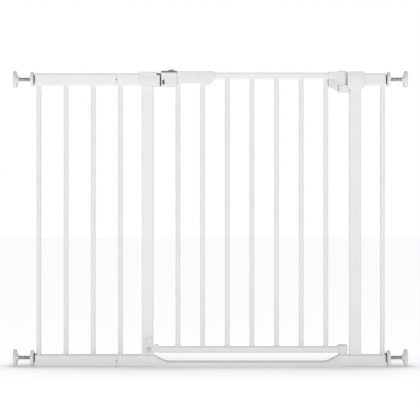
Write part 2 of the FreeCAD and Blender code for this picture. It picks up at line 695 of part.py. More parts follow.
def build_hinges():
    # upper bracket, a cap over the right upright with a lobe under the door's knuckle
    cap = box("bracket_x0", "bracket_x1", "bracket_deep", "lobe_z1 - lobe_tall / 2",
              "main_height + bracket_cap")
    cap = rounded(cap, "bracket_round", lambda edge: is_corner(edge, "bracket_x1", "lobe_z1 - lobe_tall / 2"))
    cap = rounded(cap, "latch_round", lambda edge: is_face_rim(edge, "bracket_deep"))
    arm = box("hinge_x", "bracket_x0 + housing_round", "2 * lobe_radius", "lobe_z1 - lobe_tall", "lobe_z1")
    lobe = rod("lobe_radius", "lobe_tall", "hinge_x", "0", "lobe_z1 - lobe_tall")
    sweep = rod("knuckle_radius + air_gap", "knuckle_z1", "hinge_x", "0", "lobe_z1")
    post_space = box("right_x0 - snug_gap", "right_x1 + snug_gap", "tube_deep + 2 * snug_gap", "0",
                     "main_height + snug_gap")
    rail_space = box("right_x1 - 1", "right_x1 + bracket_over + 1", "tube_deep + 2 * snug_gap",
                     "rail_z0 - snug_gap", "main_height + snug_gap")
    pin_space = rod("pin_radius", "lobe_tall + 2", "hinge_x", "0", "lobe_z1 - lobe_tall + 2")
    keep(minus(joined(cap, arm, lobe), sweep, post_space, rail_space, pin_space), "upper_hinge_bracket")
    keep(rod("pin_radius", "knuckle_z1 - lobe_z1 + lobe_tall - 8", "hinge_x", "0",
             "lobe_z1 - lobe_tall + 2"), "upper_hinge_pin")

    # lower boss on the bottom rail, just past the end of the low step
    boss = doc.addObject("Part::Cone", "boss")
    bind(boss, Radius1="boss_radius", Radius2="boss_top", Height="boss_z1 - tube_tall")
    place(boss, "hinge_x", "0", "tube_tall")
    trim = box("hinge_x - boss_radius", "hinge_x + boss_radius", "tube_deep - 2 * tube_round", "tube_tall",
               "boss_z1")
    hole = rod("pin_radius", "tube_tall", "hinge_x", "0", "tube_tall - 1")
    keep(minus(overlap(boss, trim), hole), "lower_hinge_boss")
    keep(rod("pin_radius", "boss_z1 - tube_tall + foot_tall - 4", "hinge_x", "0", "tube_tall"),
         "lower_hinge_pin")

    bushes = []
    for z0, tall in (("knuckle_z0", "knuckle_z1 - knuckle_z0 - 4"), ("foot_z0", "foot_tall - 3")):
        sleeve = rod("bush_radius", tall, "hinge_x", "0", z0)
        bore = rod("pin_radius + run_gap", f"{tall} + 2", "hinge_x", "0", f"{z0} - 1")
        bushes.append(minus(sleeve, bore))
    keep(group(*bushes), "hinge_bushes")


# ---- the door

def build_door():
    rail = square_tube("door_top", "YZ_Plane", "door_rail_deep", "door_rail_tall", "door_rail_round",
                       "door_rail_wall", "arm_x0 - latch_x1")
    keep(place(rail, "latch_x1", "0", "door_rail_z + door_rail_tall / 2"), "door_top_rail")
    rail = square_tube("door_low", "YZ_Plane", "door_rail_deep", "door_rail_tall", "door_rail_round",
                       "door_rail_wall", "hinge_x - foot_radius - endcap_x1")
    keep(place(rail, "endcap_x1", "0", "door_z0 + door_rail_tall / 2"), "door_bottom_rail")
    for i in range(int(number("door_bar_count"))):
        keep(bar(f"door_tube_{i + 1}", f"first_bar_x + {i} * bar_step", "door_z0 + door_rail_tall",
                 "door_rail_z"), f"door_bar_{i + 1}")

    # hinge arm: rail end block, gusset and knuckle
    block = box("arm_x0", "arm_x1", "arm_deep", "door_rail_z - 1", "door_z1 + door_rise")
    block = rounded(block, "latch_round", lambda edge: runs_along(edge, "x"))
    gusset = plate("gusset", [
        ("arm_x0", "door_rail_z"), ("arm_x0", "door_rail_z - gusset_drop * 0.6"),
        ("arm_x1", "door_rail_z - gusset_drop"), ("arm_x1", "door_rail_z"),
    ], "arm_deep - 4")
    grooves = [
        box(f"arm_x0 + {x}", f"arm_x0 + {x} + groove_wide", "2", "knuckle_z0 - gusset_drop",
            "door_rail_z - 3", f"{sign} * (arm_deep / 2 - 2)")
        for sign in ("1", "0 - 1") for x in ("groove_wide", "3 * groove_wide")
    ]
    gusset = minus(gusset, *grooves)
    bridge = box("arm_x1 - 1", "hinge_x", "arm_deep", "knuckle_z0 + 1", "door_z1 + door_rise")
    knuckle = rod("knuckle_radius", "knuckle_z1 - knuckle_z0", "hinge_x", "0", "knuckle_z0")
    knuckle = rounded(knuckle, "knuckle_dome", lambda edge: edge.BoundBox.ZMin > number("knuckle_z1") - 0.1
                      and len(edge.Vertexes) == 1)
    bore = rod("bush_radius + run_gap", "knuckle_z1 - knuckle_z0 - 3", "hinge_x", "0", "knuckle_z0 - 1")
    keep(minus(joined(block, gusset, bridge, knuckle), bore), "door_hinge_arm")

    # lower hinge foot on the bottom rail's end
    foot = rod("foot_radius", "foot_tall", "hinge_x", "0", "foot_z0")
    foot = rounded(foot, "knuckle_dome", lambda edge: edge.BoundBox.ZMin > number("foot_z0 + foot_tall") - 0.1
                   and len(edge.Vertexes) == 1)
    tail = box("hinge_x - foot_radius", "hinge_x", "door_rail_deep", "foot_z0", "door_z0 + door_rail_tall")
    bore = rod("bush_radius + run_gap", "foot_tall - 1.5", "hinge_x", "0", "foot_z0 - 0.5")
    keep(minus(joined(foot, tail), bore), "door_hinge_foot")

    cap = box("endcap_x0", "endcap_x1", "door_rail_deep", "door_z0 + 1", "door_z0 + door_rail_tall + endcap_rise")
    keep(rounded(cap, "endcap_rise - 1", lambda edge: runs_along(edge, "y")
                 and edge.BoundBox.ZMin > number("door_z0 + door_rail_tall")), "door_end_cap")


def build_latch():
    shell = box("latch_x0", "latch_x1", "latch_deep", "latch_z0", "door_z1")
    shell = rounded(shell, "latch_round", lambda edge: is_face_rim(edge, "latch_deep"))
    tongue = box("latch_x0 - tongue_long - latch_gap + 0.6", "latch_x0 + 1", "latch_deep - 2 * latch_round",
                 "door_z1 - tongue_thick", "door_z1")
    inside = box("latch_x0 + latch_wall", "spring_x1", "latch_deep - 2 * latch_wall",
                 "latch_z0 + latch_wall", "door_z1 - latch_wall")
    bolt_slot = box("latch_x0 - 1", "latch_x0 + latch_wall + 1", "bolt_deep + 2 * bolt_gap",
                    "bolt_z0 - bolt_gap", "bolt_z0 + bolt_tall + bolt_gap")
    stem_slot = box("stem_x0 - bolt_travel - bolt_gap", "stem_x0 + stem_long + bolt_gap",
                    "stem_deep + 2 * bolt_gap", "door_z1 - latch_wall - 1", "door_z1 + 1")
    bar_space = rod("bar_dia / 2 + snug_gap", "latch_tall", "first_bar_x", "0", "latch_z0 - 1")
    window = window_solid("snug_gap")
    whole = minus(joined(shell, tongue), inside, bolt_slot, stem_slot, bar_space, window)
    for name, y in (("front", "0 - latch_deep / 2"), ("back", "latch_deep / 2")):
        half = box("latch_x0 - 2 * tongue_long", "latch_x1 + 1", "latch_deep", "latch_z0 - 1", "door_z1 + 1", y)
        keep(overlap(whole, half), "latch_shell_" + name)
    keep(window_solid("0"), "lock_window")

    # bolt with its stem up to the thumb slider, and the spring behind it
    bolt = box("bolt_x0", "bolt_x0 + bolt_long", "bolt_deep", "bolt_z0", "bolt_z0 + bolt_tall")
    keep(bolt, "lock_bolt")
    stem = box("stem_x0", "stem_x0 + stem_long", "stem_deep", "bolt_z0 + bolt_tall", "door_z1 + air_gap")
    top = box("latch_x0", "latch_x1 - air_gap", "slider_deep", "door_z1 + air_gap", "slider_top")
    top = rounded(top, "latch_round", lambda edge: runs_along(edge, "z"))
    foot, crown = "slider_top - slider_tall + 1", "slider_top + slider_bump"
    rib = plate("thumb_rib", [
        ("rib_x0", foot), ("rib_x0 + rib_long", foot), ("rib_x0 + rib_long", "slider_top"),
        ("rib_x0 + (rib_long + rib_flat) / 2", crown), ("rib_x0 + (rib_long - rib_flat) / 2", crown),
        ("rib_x0", "slider_top"),
    ], "slider_deep - 2")
    keep(joined(stem, top, rib), "lock_slider")
    build_spring()


def window_solid(gap):
    """The oval lock indicator, let into the latch block's front face."""
    half = f"window_wide / 2 + {gap}"
    run = "(window_tall - window_wide) / 2"
    x, mid = "latch_x0 + window_inset", "latch_z0 + window_low"
    y = "0 - latch_deep / 2 + window_thick"
    thick = f"window_thick + {gap}"
    low = rod(half, thick, x, y, f"{mid} - {run}", "-Y")
    high = rod(half, thick, x, y, f"{mid} + {run}", "-Y")
    middle = box(f"{x} - ({half})", f"{x} + {half}", thick, f"{mid} - {run}", f"{mid} + {run}",
                 f"{y} - ({thick}) / 2")
    return joined(low, high, middle)


def build_spring():
    """A coil spring from the bolt's tail to the wall behind it."""
    helix = doc.addObject("Part::Helix", "spring_line")
    bind(helix, Radius="spring_coil / 2", Height="spring_x1 - bolt_x0 - bolt_long - spring_wire",
         Pitch="(spring_x1 - bolt_x0 - bolt_long - spring_wire) / spring_turns")
    circle = doc.addObject("Part::Circle", "spring_section")
    bind(circle, Radius="spring_wire / 2")
    circle.Placement = Placement(Vector(), Rotation(Vector(1, 0, 0), 90))
    place(circle, "spring_coil / 2")
    coil = doc.addObject("Part::Sweep", "spring_sweep")
    coil.Sections = [circle]
    coil.Spine = (helix, ["Edge1"])
    coil.Solid = True
    coil.Frenet = True
    coil.Placement = Placement(Vector(), TURNS["+X"])
    place(coil, "bolt_x0 + bolt_long + spring_wire / 2", "0", "bolt_z0 + bolt_tall / 2")
    keep(coil, "bolt_spring")


def build_handle():
    end, low, top = "handle_x1", "handle_z0", "handle_z1"
    scoop = "handle_z0 + handle_scoop"
    body = plate("handle_shape", [
        ("handle_x0", low), ("handle_x0 + 7", low), ("handle_x0 + 27", scoop), ("handle_x0 + 44", scoop),
        (f"{end} - 34", low), (f"{end} - 19", low), (f"{end} - 5", f"{low} + 9"), (end, f"{top} - 10"),
        (end, top), ("handle_x0", top),
    ], "handle_deep")
    smooth(body, "handle_nose", lambda edge: runs_along(edge, "y")
           and edge.Vertexes[0].Point.x > number("handle_x1 - 7"))
    smooth(body, "handle_round", lambda edge: is_face_rim(edge, "handle_deep"))
    rail_space = box("handle_x0 - 1", "handle_x1 + 1", "door_rail_deep + 2 * snug_gap",
                     "door_rail_z - snug_gap", "door_z1 + snug_gap")
    bars = [rod("bar_dia / 2 + snug_gap", "handle_drop + handle_cap", f"first_bar_x + {i} * bar_step",
                "0", "handle_z0 - 15") for i in range(2)]
    keep(minus(body, rail_space, *bars), "handle_cover")


# ---- stop lever on the left upright

def build_stop():
    thick = "lever_thick"
    low = rod("lever_radius", thick, "lever_x", "lever_y", "lever_low", "-Y")
    high = rod("lever_radius", thick, "lever_x", "lever_y", "lever_low + lever_pitch", "-Y")
    waist = box("lever_x - lever_waist / 2", "lever_x + lever_waist / 2", thick, "lever_low",
                "lever_low + lever_pitch", f"lever_y - {thick} / 2")
    bore = rod("screw_radius + run_gap", "lever_thick + 2", "lever_x", "lever_y + 1", "lever_low", "-Y")
    keep(minus(joined(low, high, waist), bore), "stop_lever")
    shank = rod("screw_radius", "lever_thick + 2 * air_gap + tube_deep / 2", "lever_x",
                "lever_y - lever_thick - air_gap", "lever_low", "+Y")
    head = rod("screw_head", "2", "lever_x", "lever_y - lever_thick - air_gap", "lever_low", "-Y")
    head = rounded(head, "1", lambda edge: len(edge.Vertexes) == 1
                   and edge.BoundBox.YMax < number("lever_y - lever_thick - air_gap") - 1.9)
    keep(joined(shank, head), "stop_screw")
    screws = []
    for z in ("housing_z0 + 8", "housing_z0 + 24"):
        screws.append(joined(
            rod("screw_head - 2", "1.5", "left_x1 + 5", "housing_deep / 2", z, "+Y"),
            rod("screw_radius - 1", "1", "left_x1 + 5", "housing_deep / 2 + 0.5", z, "+Y")))
    keep(group(*screws), "housing_screws")


build_frame()
build_threshold()
build_extension()
build_spindles()
build_lock_housing()
build_hinges()
build_door()
build_latch()
build_handle()
build_stop()
doc.recompute()

for obj in doc.Objects:
    if "Invalid" in obj.State or "Error" in obj.State:
        raise RuntimeError(f"{obj.Label} did not compute: {obj.State}")
for part in PARTS:
    if part.Shape.isNull() or not part.Shape.isValid() or not part.Shape.Solids:
        raise RuntimeError(f"{part.Label} is not a valid solid")
if len({part.Label for part in PARTS}) != len(PARTS):
    raise RuntimeError("two sub-parts share a name")

os.makedirs("parts", exist_ok=True)
for part in PARTS:
    part.Shape.exportStep(os.path.join("parts", part.Label + ".step"))
print(len(PARTS), "sub-parts,", sum(len(part.Shape.Solids) for part in PARTS), "solids")
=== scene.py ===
"""Looks of a pressure-fitted safety gate: finishes, turned and moulded pieces, studio and camera.

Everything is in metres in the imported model's frame: +X to the hinge side, +Y through the
doorway, +Z up, with the origin on the floor midway between the walls. Sizes are kept in
millimetres and turned to metres where a mesh is made.
"""

import json
import logging
import math
from dataclasses import dataclass
from enum import Enum
from typing import Any, Callable, Sequence

import bmesh
import bpy
from bpy.types import Material, NodeTree, Object, ShaderNode
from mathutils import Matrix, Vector

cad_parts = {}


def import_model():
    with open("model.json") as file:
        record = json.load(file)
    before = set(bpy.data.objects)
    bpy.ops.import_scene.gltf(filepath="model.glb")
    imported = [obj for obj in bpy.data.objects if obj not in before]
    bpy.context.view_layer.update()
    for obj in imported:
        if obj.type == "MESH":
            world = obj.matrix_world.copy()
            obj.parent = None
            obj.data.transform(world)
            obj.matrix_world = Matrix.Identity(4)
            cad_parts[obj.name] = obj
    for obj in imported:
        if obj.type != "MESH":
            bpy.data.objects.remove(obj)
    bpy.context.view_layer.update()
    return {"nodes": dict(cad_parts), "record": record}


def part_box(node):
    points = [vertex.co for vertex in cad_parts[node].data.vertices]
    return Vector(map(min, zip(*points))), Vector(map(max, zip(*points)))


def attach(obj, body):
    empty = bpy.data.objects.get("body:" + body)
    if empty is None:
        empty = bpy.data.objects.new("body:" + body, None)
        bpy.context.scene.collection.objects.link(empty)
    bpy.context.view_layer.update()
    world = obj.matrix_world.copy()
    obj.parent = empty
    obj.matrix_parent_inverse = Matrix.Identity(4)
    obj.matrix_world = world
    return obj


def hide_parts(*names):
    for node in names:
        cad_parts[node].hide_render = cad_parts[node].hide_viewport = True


LOG = logging.getLogger("gate")
MM = 0.001
Profile = Sequence[tuple[float, float]]


# ---- colour and nodes

def linear(colour: str) -> tuple[float, float, float, float]:
    """Turn an sRGB hex colour to linear light.

    Args:
        colour: Six hex digits after a hash.

    Returns:
        Red, green, blue and a full alpha.
    """
    channels = [int(colour[i:i + 2], 16) / 255 for i in (1, 3, 5)]
    light = [c / 12.92 if c <= 0.04045 else ((c + 0.055) / 1.055) ** 2.4 for c in channels]
    return (*light, 1.0)


def add_node(tree: NodeTree, kind: str, settings: dict[str, Any] | None = None,
             values: dict[str, Any] | None = None,
             links: dict[str | int, Any] | None = None) -> ShaderNode:
    """Add a node to a tree with its settings, its plain values and what feeds it.

    Args:
        tree: Node tree of a material or of the world.
        kind: Node type.
        settings: Properties of the node itself.
        values: Plain values by socket name.
        links: Output sockets by the name of the input they feed.

    Returns:
        The new node.
    """
    node = tree.nodes.new(kind)
    for name, value in (settings or {}).items():
        setattr(node, name, value)
    for name, value in (values or {}).items():
        node.inputs[name].default_value = value
    for name, source in (links or {}).items():
        tree.links.new(source, node.inputs[name])
    return node


# ---- finishes

@dataclass(frozen=True)
class Finish:
    """A surface finish: base colour with faint mottling, and a fine relief.

    The relief's grain is drawn a little coarser than the real one, so that it shows.
    """
    name: str
    slot: str
    light_tone: str
    dark_tone: str
    roughness: tuple[float, float]
    metallic: float = 0.0
    ior: float = 1.5
    coat: float = 0.0
    grain_mm: float = 1.5
    relief_mm: float = 0.04
    mottle_mm: float = 35.0
    stretch: tuple[float, float, float] = (1.0, 1.0, 1.0)
    streaks: bool = False

    def material(self) -> Material:
        """Build the node material once and hand out the same one after that.

        Returns:
            The finish's material.
        """
        made = bpy.data.materials.get(self.name)
        if made is not None:
            return made
        made = bpy.data.materials.new(self.name)
        made.use_nodes = True
        tree = made.node_tree
        tree.nodes.clear()
        place = add_node(tree, "ShaderNodeTexCoord")
        turned = add_node(tree, "ShaderNodeMapping", values={"Scale": self.stretch},
                          links={"Vector": place.outputs["Object"]})
        patches = add_node(tree, "ShaderNodeTexNoise",
                           values={"Scale": 1 / (self.mottle_mm * MM), "Detail": 3.0,
                                   "Roughness": 0.55},
                           links={"Vector": place.outputs["Object"]})
        grain = add_node(tree, "ShaderNodeTexNoise",
                         values={"Scale": 1 / (self.grain_mm * MM), "Detail": 2.0,
                                 "Roughness": 0.5},
                         links={"Vector": turned.outputs["Vector"]})
        tones = add_node(tree, "ShaderNodeValToRGB", links={"Fac": patches.outputs["Fac"]})
        tones.color_ramp.elements[0].position = 0.3
        tones.color_ramp.elements[0].color = linear(self.dark_tone)
        tones.color_ramp.elements[1].position = 0.7
        tones.color_ramp.elements[1].color = linear(self.light_tone)
        low, high = self.roughness
        driver = grain if self.streaks else patches
        sheen = add_node(tree, "ShaderNodeMapRange",
                         values={"From Min": 0.3, "From Max": 0.7, "To Min": low, "To Max": high},
                         links={"Value": driver.outputs["Fac"]})
        bump = add_node(tree, "ShaderNodeBump",
                        values={"Strength": 0.6, "Distance": self.relief_mm * MM},
                        links={"Height": grain.outputs["Fac"]})
        shader = add_node(tree, "ShaderNodeBsdfPrincipled",
                          values={"Metallic": self.metallic, "Coat Weight": self.coat,
                                  "Coat Roughness": 0.12},
                          links={"Base Color": tones.outputs["Color"],
                                 "Roughness": sheen.outputs["Result"],
                                 "Normal": bump.outputs["Normal"]})
        if not self.metallic:
            shader.inputs["IOR"].default_value = self.ior
        add_node(tree, "ShaderNodeOutputMaterial", links={"Surface": shader.outputs["BSDF"]})
        return made


# Baked polyester powder on steel tube: even white with a soft gloss and orange peel of 2-3 mm.
POWDER_COAT = Finish("powder_coated_steel", "white_coat", "#F0F1F3", "#ECEDEF", (0.30, 0.38),
                     coat=0.25, grain_mm=2.6, relief_mm=0.05, mottle_mm=60.0)
# Injection-moulded ABS: a satin skin with the fine spark-eroded texture of its mould.
MOULDED_ABS = Finish("moulded_white_abs", "white_plastic", "#EEEFF0", "#E9EAEC", (0.40, 0.48),
                     ior=1.54, grain_mm=1.1, relief_mm=0.05, mottle_mm=25.0)
# The same plastic in grey, matt where thumbs rub it.
GREY_ABS = Finish("moulded_grey_abs", "grey_plastic", "#8E8F91", "#7C7D7F", (0.46, 0.56),
                  ior=1.54, grain_mm=0.9, relief_mm=0.06, mottle_mm=12.0)
# Dark dull plastic of the rail plugs and the latch gap pieces, painted shade: its darkness stands
# for the shadow in the gaps beside the handwheels and the latch.
DARK_SHADE_PLASTIC = Finish("dark_painted_shade_plastic", "dark_plastic", "#4A4B4D", "#3C3D3F", (0.5, 0.62),
                    ior=1.53, grain_mm=0.9, relief_mm=0.05, mottle_mm=9.0)
# Tinted acrylic lens of the lock indicator: deep green and glossy.
GREEN_ACRYLIC = Finish("tinted_green_acrylic", "green_window", "#36443F", "#2A3833",
                       (0.12, 0.2), ior=1.49, coat=0.5, grain_mm=3.0, relief_mm=0.01,
                       mottle_mm=4.0)
# Bright zinc plate on rolled threads: bluish metal with faint patches of passivation.
ZINC_PLATE = Finish("bright_zinc_plate", "zinc_steel", "#C3C9CE", "#A9B0B7", (0.24, 0.4),
                    metallic=1.0, grain_mm=0.8, relief_mm=0.02, mottle_mm=7.0)
# Drawn spring wire: slightly brown steel with the streaks of its die.
SPRING_WIRE = Finish("drawn_spring_steel", "spring_steel", "#9C9A96", "#7F7D79", (0.3, 0.45),
                     metallic=1.0, grain_mm=0.5, relief_mm=0.02, mottle_mm=5.0,
                     stretch=(0.3, 1.0, 1.0), streaks=True)
# Natural acetal bushes: milky and waxy.
ACETAL = Finish("natural_acetal", "bush_plastic", "#E4E3DC", "#D9D8D0", (0.3, 0.4), ior=1.48,
                grain_mm=1.2, relief_mm=0.02, mottle_mm=8.0)
# Soft moulded rubber of the wall faces: pale and dull, with a dusty bloom.
PALE_RUBBER = Finish("moulded_pale_rubber", "pad_rubber", "#E3E4E4", "#D4D5D6", (0.7, 0.85),
                     ior=1.52, grain_mm=1.0, relief_mm=0.08, mottle_mm=10.0)


# ---- mesh making

class Axis(Enum):
    """An axis of the gate's frame."""
    X = (1.0, 0.0, 0.0)
    Y = (0.0, 1.0, 0.0)
    Z = (0.0, 0.0, 1.0)


def spun(profile: Profile, axis: Axis, centre: Sequence[float], facing: float = 1.0,
         steps: int = 64, looped: bool = False) -> bmesh.types.BMesh:
    """Turn a profile a full circle about an axis.

    Args:
        profile: Places along the axis and radii from it, in millimetres.
        axis: Axis to turn about.
        centre: A point on the axis, in metres.
        facing: 1 or -1, the way in which the profile's places run.
        steps: Sides of the circle.
        looped: Whether the profile's last point joins its first.

    Returns:
        The turned surface.
    """
    bm = bmesh.new()
    along = Vector(axis.value)
    out = Vector((0, 0, 1)) if axis is not Axis.Z else Vector((1, 0, 0))
    spots = [Vector(centre) + along * (a * facing * MM) + out * (r * MM) for a, r in profile]
    verts = [bm.verts.new(spot) for spot in spots]
    edges = [bm.edges.new(pair) for pair in zip(verts, verts[1:])]
    if looped:
        edges.append(bm.edges.new((verts[-1], verts[0])))
    bmesh.ops.spin(bm, geom=verts + edges, cent=centre, axis=along, dvec=(0, 0, 0),
                   angle=math.tau, steps=steps, use_merge=True, use_duplicate=False)
    bmesh.ops.remove_doubles(bm, verts=bm.verts, dist=1e-6)
    return bm


def prism(points: Profile, y0: float, y1: float) -> bmesh.types.BMesh:
    """Extrude an outline in X and Z from one Y place to another, all in millimetres.

    Args:
        points: Corners of the outline.
        y0: Front face.
        y1: Back face.

    Returns:
        The closed solid.
    """
    bm = bmesh.new()
    face = bm.faces.new([bm.verts.new((x * MM, y0 * MM, z * MM)) for x, z in points])
    grown = bmesh.ops.extrude_face_region(bm, geom=[face], use_keep_orig=True)
    moved = [item for item in grown["geom"] if isinstance(item, bmesh.types.BMVert)]
    bmesh.ops.translate(bm, verts=moved, vec=(0, (y1 - y0) * MM, 0))
    bmesh.ops.recalc_face_normals(bm, faces=bm.faces)
    return bm


def block(x0: float, x1: float, y0: float, y1: float, z0: float, z1: float,
          ) -> bmesh.types.BMesh:
    """A box between two corners.

    Args:
        x0: Left face, in millimetres, as are the other places.
        x1: Right face.
        y0: Front face.
        y1: Back face.
        z0: Underside.
        z1: Top.

    Returns:
        The closed box.
    """
    return prism([(x0, z0), (x1, z0), (x1, z1), (x0, z1)], y0, y1)


def ease(bm: bmesh.types.BMesh, radius: float, segments: int = 3,
         chosen: Callable[[bmesh.types.BMEdge], bool] | None = None) -> None:
    """Round edges of a solid.

    Args:
        bm: The solid.
        radius: Size of the rounding, in millimetres.
        segments: Facets across the rounding.
        chosen: Says which edges to round; sharp ones if not given.
    """
    test = chosen or (lambda edge: edge.calc_face_angle(0) > math.radians(40))
    edges = [edge for edge in bm.edges if test(edge)]
    bmesh.ops.bevel(bm, geom=edges, offset=radius * MM, offset_type="OFFSET",
                    segments=segments, profile=0.5, affect="EDGES", clamp_overlap=True,
                    material=-1)


def gathered(parts: Sequence[bmesh.types.BMesh]) -> bmesh.types.BMesh:
    """Put several shapes into one mesh.

    Args:
        parts: The shapes, which are freed.

    Returns:
        One mesh that holds them all.
    """
    whole = bmesh.new()
    for part in parts:
        scrap = bpy.data.meshes.new("scrap")
        part.to_mesh(scrap)
        whole.from_mesh(scrap)
        part.free()
        bpy.data.meshes.remove(scrap)
    return whole


def publish(bm: bmesh.types.BMesh, name: str, finish: Finish, body: str,
            replaced: Sequence[str] = (), smooth_to: float = 38.0) -> Object:
    """Make a shape a piece of the gate.

    Args:
        bm: The shape, in the gate's frame; it is freed.
        name: Name of the piece.
        finish: Its finish.
        body: CAD body it moves with.
        replaced: CAD nodes it stands for.
        smooth_to: Angle in degrees past which an edge stays sharp.

    Returns:
        The new object.
    """
    bmesh.ops.recalc_face_normals(bm, faces=bm.faces)
    mesh = bpy.data.meshes.new(name)
    bm.to_mesh(mesh)
    bm.free()
    mesh.shade_smooth()
    mesh.set_sharp_from_angle(angle=math.radians(smooth_to))
    mesh.materials.append(finish.material())
    piece = bpy.data.objects.new(name, mesh)
    bpy.context.scene.collection.objects.link(piece)
    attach(piece, body)
    if replaced:
        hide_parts(*replaced)
    LOG.info("%s: %d faces on %s", name, len(mesh.polygons), body)
    return piece


# ---- sub-assemblies

FINISH_BY_SLOT = {f.slot: f for f in (POWDER_COAT, MOULDED_ABS, GREY_ABS, DARK_SHADE_PLASTIC,
                                      GREEN_ACRYLIC, ZINC_PLATE, SPRING_WIRE, ACETAL,
                                      PALE_RUBBER)}


@dataclass
class CarriedParts:
    """CAD nodes that keep their own shape and get a finish."""
    record: dict[str, Any]

    def dress(self, nodes: dict[str, Object]) -> None:
        """Give every CAD node the finish of its slot.

        Args:
            nodes: CAD nodes by name.
        """
        slots = {part["node"]: part["material_slot"] for part in self.record["subparts"]}
        for name, node in nodes.items():
            material = FINISH_BY_SLOT[slots[name]].material()
            node.data.materials.clear()
            node.data.materials.append(material)
        LOG.info("%d CAD nodes dressed", len(nodes))


@dataclass
class Welds:
    """Small fillets of weld and coat where round bars meet rails."""
    reach: float = 1.5
    rise: float = 2.6
    sunk: float = 0.8
    inside: float = 0.5
    extension_bars: int = 3
    door_bars: int = 7

    def fillet(self, x: float, radius: float, z: float, up: float) -> bmesh.types.BMesh:
        """One fillet ring round a bar.

        Args:
            x: Middle of the bar, in metres.
            radius: The bar's radius, in millimetres.
            z: Height of the rail's face, in metres.
            up: 1 where the bar stands on the rail, -1 where it hangs from it.

        Returns:
            The closed ring.
        """
        profile = [(-self.sunk, radius - self.inside), (-self.sunk, radius + self.reach),
                   (0.0, radius + self.reach), (self.rise * 0.3, radius + self.reach * 0.45),
                   (self.rise, radius + 0.05), (self.rise, radius - self.inside)]
        return spun(profile, Axis.Z, (x, 0.0, z), facing=up, steps=24, looped=True)

    def at_bar(self, node: str) -> list[bmesh.types.BMesh]:
        """Fillets at both ends of each bar of a CAD node.

        Args:
            node: Name of the node.

        Returns:
            A ring for each end.
        """
        low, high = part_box(node)
        radius = (high.y - low.y) / 2
        count = self.extension_bars if node == "extension_bars" else 1
        first, last = low.x + radius, high.x - radius
        places = [first + (last - first) * i / max(count - 1, 1) for i in range(count)]
        return [self.fillet(x, radius / MM, z, up)
                for x in places for z, up in ((low.z, 1.0), (high.z, -1.0))]

    def build(self) -> None:
        """Make the frame's and the door's fillets."""
        frame_bars = ("outer_bar_left", "outer_bar_right", "extension_bars")
        door_bars = [f"door_bar_{i}" for i in range(1, self.door_bars + 1)]
        for name, bars, body in (("frame_welds", frame_bars, "frame"),
                                 ("door_welds", door_bars, "door")):
            rings = [ring for bar in bars for ring in self.at_bar(bar)]
            publish(gathered(rings), name, POWDER_COAT, body)


@dataclass
class LowStep:
    """The pressed step under the door, with ends that rise and narrow to the rails."""
    tall: float = 12.6
    slope: float = 33.0
    narrow: float = 10.0
    bend: float = 9.0
    edge: float = 2.3
    sheet: float = 1.5
    hollow: float = 8.0

    def build(self) -> None:
        """Make the step."""
        low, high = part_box("threshold")
        x0, x1, top = low.x / MM, high.x / MM, high.z / MM
        half = high.y / MM
        a, b = x0 + self.slope, x1 - self.slope
        bm = prism([(x0, 0), (a, 0), (b, 0), (x1, 0), (x1, top), (b, self.tall),
                    (a, self.tall), (x0, top)], -half, half)
        for vert in bm.verts:
            if min(abs(vert.co.x / MM - x) for x in (x0, x1)) < 0.1:
                vert.co.y = math.copysign(self.narrow * MM, vert.co.y)
        ease(bm, self.bend, 5, lambda e: all(
            abs(v.co.z / MM - self.tall) < 0.1 for v in e.verts)
            and abs(e.verts[0].co.x - e.verts[1].co.x) < 1e-6)
        ease(bm, self.edge, 4, self.is_long_edge)
        under = [f for f in bm.faces if f.normal.z < -0.99 and f.calc_center_median().z < 1e-5]
        bmesh.ops.inset_region(bm, faces=under, thickness=self.sheet * MM)
        grown = bmesh.ops.extrude_face_region(bm, geom=under)
        lifted = [v for v in grown["geom"] if isinstance(v, bmesh.types.BMVert)]
        bmesh.ops.translate(bm, verts=lifted, vec=(0, 0, self.hollow * MM))
        bmesh.ops.delete(bm, geom=[f for f in under if f.is_valid], context="FACES_ONLY")
        publish(bm, "low_step", POWDER_COAT, "frame", ["threshold"])

    def is_long_edge(self, edge: bmesh.types.BMEdge) -> bool:
        """Is an edge one of the upper ones that run along the step?

        Args:
            edge: Edge of the step.

        Returns:
            True if it gets the step's long rounding.
        """
        along = abs(edge.verts[0].co.x - edge.verts[1].co.x) > 1e-5
        front = edge.verts[0].co.y * edge.verts[1].co.y > 0
        return along and front and min(v.co.z for v in edge.verts) > 5 * MM


